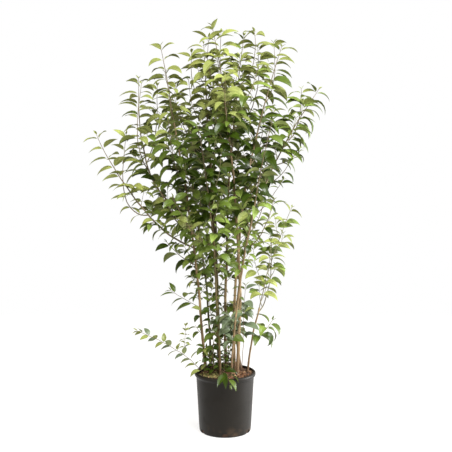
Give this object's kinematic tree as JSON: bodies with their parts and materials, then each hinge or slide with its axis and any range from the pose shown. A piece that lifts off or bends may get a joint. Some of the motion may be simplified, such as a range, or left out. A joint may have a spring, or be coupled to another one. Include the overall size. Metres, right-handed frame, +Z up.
{
  "type": "potted japanese privet",
  "caption": "Upright evergreen garden shrub with slender stems, pointed glossy leaves in opposite pairs and an open vase-shaped crown, growing in a round black nursery pot.",
  "frame": {"origin": "middle of the flat underside of the pot", "axes": "+Z up along the pot's axis, +X to the viewer's right, +Y away from the viewer"},
  "size_m": [1.0847, 0.7926, 1.8458],
  "materials": {
    "pot": "matt black nursery plastic",
    "soil": "red-brown bark and wood fibre",
    "bark": "smooth tan bark with pale pores",
    "leaves": "glossy leathery green leaves"
  },
  "bodies": {
    "root": {"pot": "pot", "soil": "soil", "stem_left": "bark", "stem_left_back": "bark", "stem_centre_left": "bark", "stem_centre": "bark", "stem_centre_back": "bark", "stem_right": "bark", "stem_right_far": "bark", "stem_back_right": "bark", "stem_back": "bark", "stem_front": "bark", "stem_front_right": "bark", "stem_right_small": "bark", "bough_far_left": "bark", "bough_near_left": "bark", "spray_left_tip": "leaves", "spray_left_back_tip": "leaves", "spray_centre_left_tip": "leaves", "spray_centre_tip": "leaves", "spray_centre_back_tip": "leaves", "spray_right_tip": "leaves", "spray_right_far_tip": "leaves", "spray_back_right_tip": "leaves", "spray_back_tip": "leaves", "spray_front_tip": "leaves", "spray_front_right_tip": "leaves", "spray_right_small_tip": "leaves", "spray_far_left_tip": "leaves", "spray_near_left_tip": "leaves", "spray_left_1": "leaves", "spray_left_2": "leaves", "spray_left_3": "leaves", "spray_left_back_1": "leaves", "spray_centre_left_1": "leaves", "spray_centre_left_2": "leaves", "spray_centre_1": "leaves", "spray_centre_2": "leaves", "spray_centre_3": "leaves", "spray_centre_back_1": "leaves", "spray_centre_back_2": "leaves", "spray_centre_back_3": "leaves", "spray_right_1": "leaves", "spray_right_2": "leaves", "spray_right_far_1": "leaves", "spray_right_far_2": "leaves", "spray_right_far_3": "leaves", "spray_back_right_1": "leaves", "spray_back_1": "leaves", "spray_front_1": "leaves", "spray_front_right_1": "leaves", "spray_right_small_1": "leaves", "spray_far_left_1": "leaves", "spray_near_left_1": "leaves", "spray_near_left_2": "leaves", "sprig_low_left": "leaves", "sprig_low_centre": "leaves", "sprig_over_rim": "leaves", "sprig_low_right": "leaves", "sprig_left_spur": "leaves"}
  },
  "joints": []
}
